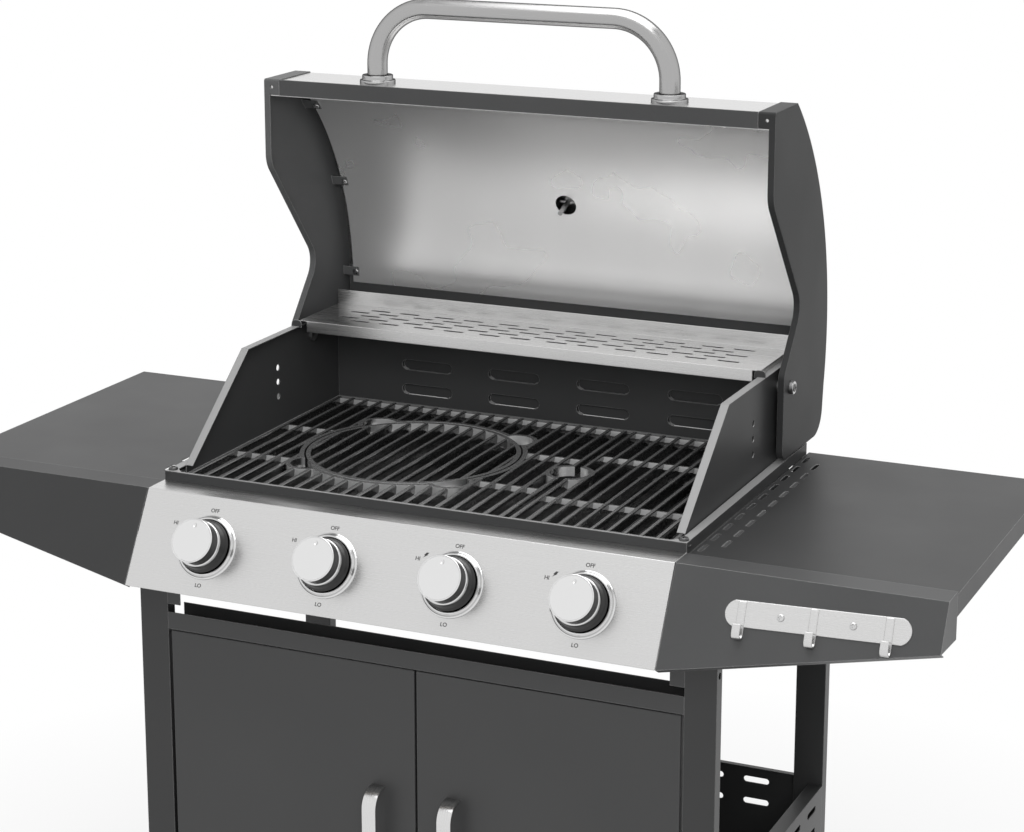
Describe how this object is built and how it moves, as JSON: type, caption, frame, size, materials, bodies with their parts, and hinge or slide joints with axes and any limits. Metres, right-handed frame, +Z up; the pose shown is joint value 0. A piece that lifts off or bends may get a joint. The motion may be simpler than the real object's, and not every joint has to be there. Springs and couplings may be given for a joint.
{
  "type": "gas barbecue grill",
  "caption": "Gas barbecue grill on a cabinet cart: hinged dome lid, cast cooking grates, slanted control panel with knobs, side tables, doors, casters",
  "frame": {"origin": "on the floor under the middle of the bounding box, with the lid open", "axes": "+X to the right as the cook stands in front, +Y to the back, +Z up"},
  "size_m": [1.262, 0.5977, 1.434],
  "materials": {
    "cart_paint": "satin charcoal powder coat",
    "table_paint": "satin charcoal powder coat",
    "firebox_enamel": "heat-proof matt black enamel",
    "lid_paint": "satin charcoal powder coat",
    "stainless": "brushed",
    "galvanised": "zinc plated",
    "grate_iron": "enamelled, semi-gloss",
    "valve_metal": "die-cast",
    "bezel_chrome": "polished",
    "knob_plastic": "matt, metal-faced",
    "caster_steel": "black zinc",
    "wheel_plastic": "matt"
  },
  "bodies": {
    "grill_body": {"front_posts": "cart_paint", "rear_posts": "cart_paint", "front_crossbeam": "cart_paint", "upper_frame_rails": "cart_paint", "left_side_panel": "cart_paint", "right_side_panel": "cart_paint", "back_panel": "cart_paint", "base_shelf": "cart_paint", "firebox_brackets": "cart_paint", "left_table_top": "table_paint", "right_table_top": "table_paint", "left_table_fascia": "table_paint", "right_table_fascia": "table_paint", "firebox_tray": "firebox_enamel", "burner_box": "firebox_enamel", "firebox_side_walls": "firebox_enamel", "firebox_back_wall": "firebox_enamel", "control_panel": "stainless", "warming_rack": "stainless", "burners": "stainless", "heat_tents": "stainless", "tool_hook_rail": "stainless", "mounting_screws": "galvanised", "hinge_pins": "galvanised", "caster_mounts": "galvanised", "left_grate": "grate_iron", "right_grate": "grate_iron", "grate_insert": "grate_iron", "gas_manifold": "valve_metal", "knob_bezels": "bezel_chrome"},
    "lid": {"lid_skin": "stainless", "lid_liner": "stainless", "lid_rear_panel": "lid_paint", "lid_left_end": "lid_paint", "lid_right_end": "lid_paint", "lid_front_trim": "lid_paint", "lid_handle": "stainless", "thermometer": "galvanised", "liner_screws": "galvanised"},
    "left_door": {"left_door": "cart_paint", "left_door_handle": "stainless"},
    "right_door": {"right_door": "cart_paint", "right_door_handle": "stainless"},
    "grease_tray": {"grease_tray": "galvanised"},
    "stem_1": {"valve_stem_1": "valve_metal"},
    "knob_1": {"knob_1": "knob_plastic"},
    "caster_1": {"caster_fork_1": "caster_steel"},
    "wheel_1": {"caster_wheel_1": "wheel_plastic"},
    "stem_2": {"valve_stem_2": "valve_metal"},
    "knob_2": {"knob_2": "knob_plastic"},
    "caster_2": {"caster_fork_2": "caster_steel"},
    "wheel_2": {"caster_wheel_2": "wheel_plastic"},
    "stem_3": {"valve_stem_3": "valve_metal"},
    "knob_3": {"knob_3": "knob_plastic"},
    "caster_3": {"caster_fork_3": "caster_steel"},
    "wheel_3": {"caster_wheel_3": "wheel_plastic"},
    "stem_4": {"valve_stem_4": "valve_metal"},
    "knob_4": {"knob_4": "knob_plastic"},
    "caster_4": {"caster_fork_4": "caster_steel"},
    "wheel_4": {"caster_wheel_4": "wheel_plastic"}
  },
  "joints": [
    {"name": "lid_hinge", "type": "hinge", "parent": "grill_body", "child": "lid", "pos_m": [0, 0.15766, 0.985], "axis": [1, 0, 0], "range_deg": [0, 90]},
    {"name": "left_door_hinge", "type": "hinge", "parent": "grill_body", "child": "left_door", "pos_m": [-0.3215, -0.18334, 0.11], "axis": [0, 0, -1], "range_deg": [0, 110]},
    {"name": "right_door_hinge", "type": "hinge", "parent": "grill_body", "child": "right_door", "pos_m": [0.3215, -0.18334, 0.11], "axis": [0, 0, 1], "range_deg": [0, 110]},
    {"name": "grease_tray_slide", "type": "slide", "parent": "grill_body", "child": "grease_tray", "axis": [0, 1, 0], "range_m": [0, 0.3]},
    {"name": "knob_push_1", "type": "slide", "parent": "grill_body", "child": "stem_1", "axis": [0, 0.8708, -0.4917], "range_m": [0, 0.003], "stiffness_N_per_m": 1500, "springref_m": -0.002},
    {"name": "knob_turn_1", "type": "hinge", "parent": "stem_1", "child": "knob_1", "pos_m": [-0.2355, -0.25913, 0.83439], "axis": [0, -0.8708, 0.4917], "range_deg": [0, 180]},
    {"name": "knob_push_2", "type": "slide", "parent": "grill_body", "child": "stem_2", "axis": [0, 0.8708, -0.4917], "range_m": [0, 0.003], "stiffness_N_per_m": 1500, "springref_m": -0.002},
    {"name": "knob_turn_2", "type": "hinge", "parent": "stem_2", "child": "knob_2", "pos_m": [-0.0785, -0.25913, 0.83439], "axis": [0, -0.8708, 0.4917], "range_deg": [0, 180]},
    {"name": "knob_push_3", "type": "slide", "parent": "grill_body", "child": "stem_3", "axis": [0, 0.8708, -0.4917], "range_m": [0, 0.003], "stiffness_N_per_m": 1500, "springref_m": -0.002},
    {"name": "knob_turn_3", "type": "hinge", "parent": "stem_3", "child": "knob_3", "pos_m": [0.0785, -0.25913, 0.83439], "axis": [0, -0.8708, 0.4917], "range_deg": [0, 180]},
    {"name": "knob_push_4", "type": "slide", "parent": "grill_body", "child": "stem_4", "axis": [0, 0.8708, -0.4917], "range_m": [0, 0.003], "stiffness_N_per_m": 1500, "springref_m": -0.002},
    {"name": "knob_turn_4", "type": "hinge", "parent": "stem_4", "child": "knob_4", "pos_m": [0.2355, -0.25913, 0.83439], "axis": [0, -0.8708, 0.4917], "range_deg": [0, 180]},
    {"name": "caster_swivel_1", "type": "hinge", "parent": "grill_body", "child": "caster_1", "pos_m": [-0.3315, -0.15184, 0.065], "axis": [0, 0, 1], "continuous": true},
    {"name": "wheel_spin_1", "type": "hinge", "parent": "caster_1", "child": "wheel_1", "pos_m": [-0.3315, -0.13184, 0.03], "axis": [1, 0, 0], "continuous": true},
    {"name": "caster_swivel_2", "type": "hinge", "parent": "grill_body", "child": "caster_2", "pos_m": [0.3315, -0.15184, 0.065], "axis": [0, 0, 1], "continuous": true},
    {"name": "wheel_spin_2", "type": "hinge", "parent": "caster_2", "child": "wheel_2", "pos_m": [0.3315, -0.13184, 0.03], "axis": [1, 0, 0], "continuous": true},
    {"name": "caster_swivel_3", "type": "hinge", "parent": "grill_body", "child": "caster_3", "pos_m": [-0.3315, 0.19916, 0.065], "axis": [0, 0, 1], "continuous": true},
    {"name": "wheel_spin_3", "type": "hinge", "parent": "caster_3", "child": "wheel_3", "pos_m": [-0.3315, 0.21916, 0.03], "axis": [1, 0, 0], "continuous": true},
    {"name": "caster_swivel_4", "type": "hinge", "parent": "grill_body", "child": "caster_4", "pos_m": [0.3315, 0.19916, 0.065], "axis": [0, 0, 1], "continuous": true},
    {"name": "wheel_spin_4", "type": "hinge", "parent": "caster_4", "child": "wheel_4", "pos_m": [0.3315, 0.21916, 0.03], "axis": [1, 0, 0], "continuous": true}
  ]
}
